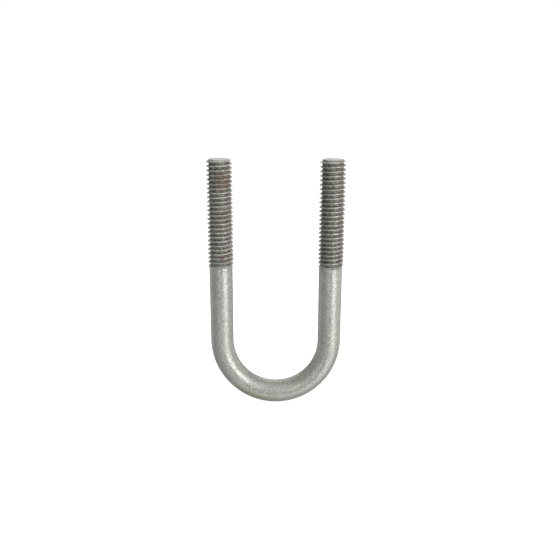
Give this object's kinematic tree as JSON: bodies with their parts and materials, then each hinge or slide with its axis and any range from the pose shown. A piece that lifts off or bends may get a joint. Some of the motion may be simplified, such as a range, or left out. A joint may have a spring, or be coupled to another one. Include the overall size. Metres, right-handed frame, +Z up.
{
  "type": "u-bolt",
  "caption": "Round steel rod bent into a U, plain at the bow and threaded up each leg, which straps a pipe against a plate or beam.",
  "frame": {"origin": "centre of the bow's round bottom, on the axis of the pipe that the bolt holds", "axes": "+Z up along the legs to their threaded ends, X from leg to leg, Y along the pipe"},
  "size_m": [0.0496, 0.0094, 0.0933],
  "materials": {
    "galvanised_rod": "steel under a matte zinc coat, mid grey and slightly warm, finely mottled",
    "galvanised_thread": "the same zinc coat on rolled thread, darker and dirtier in the grooves with faint brown stains"
  },
  "bodies": {
    "root": {"bow": "galvanised_rod", "left_shank": "galvanised_rod", "right_shank": "galvanised_rod", "left_thread": "galvanised_thread", "right_thread": "galvanised_thread"}
  },
  "joints": []
}
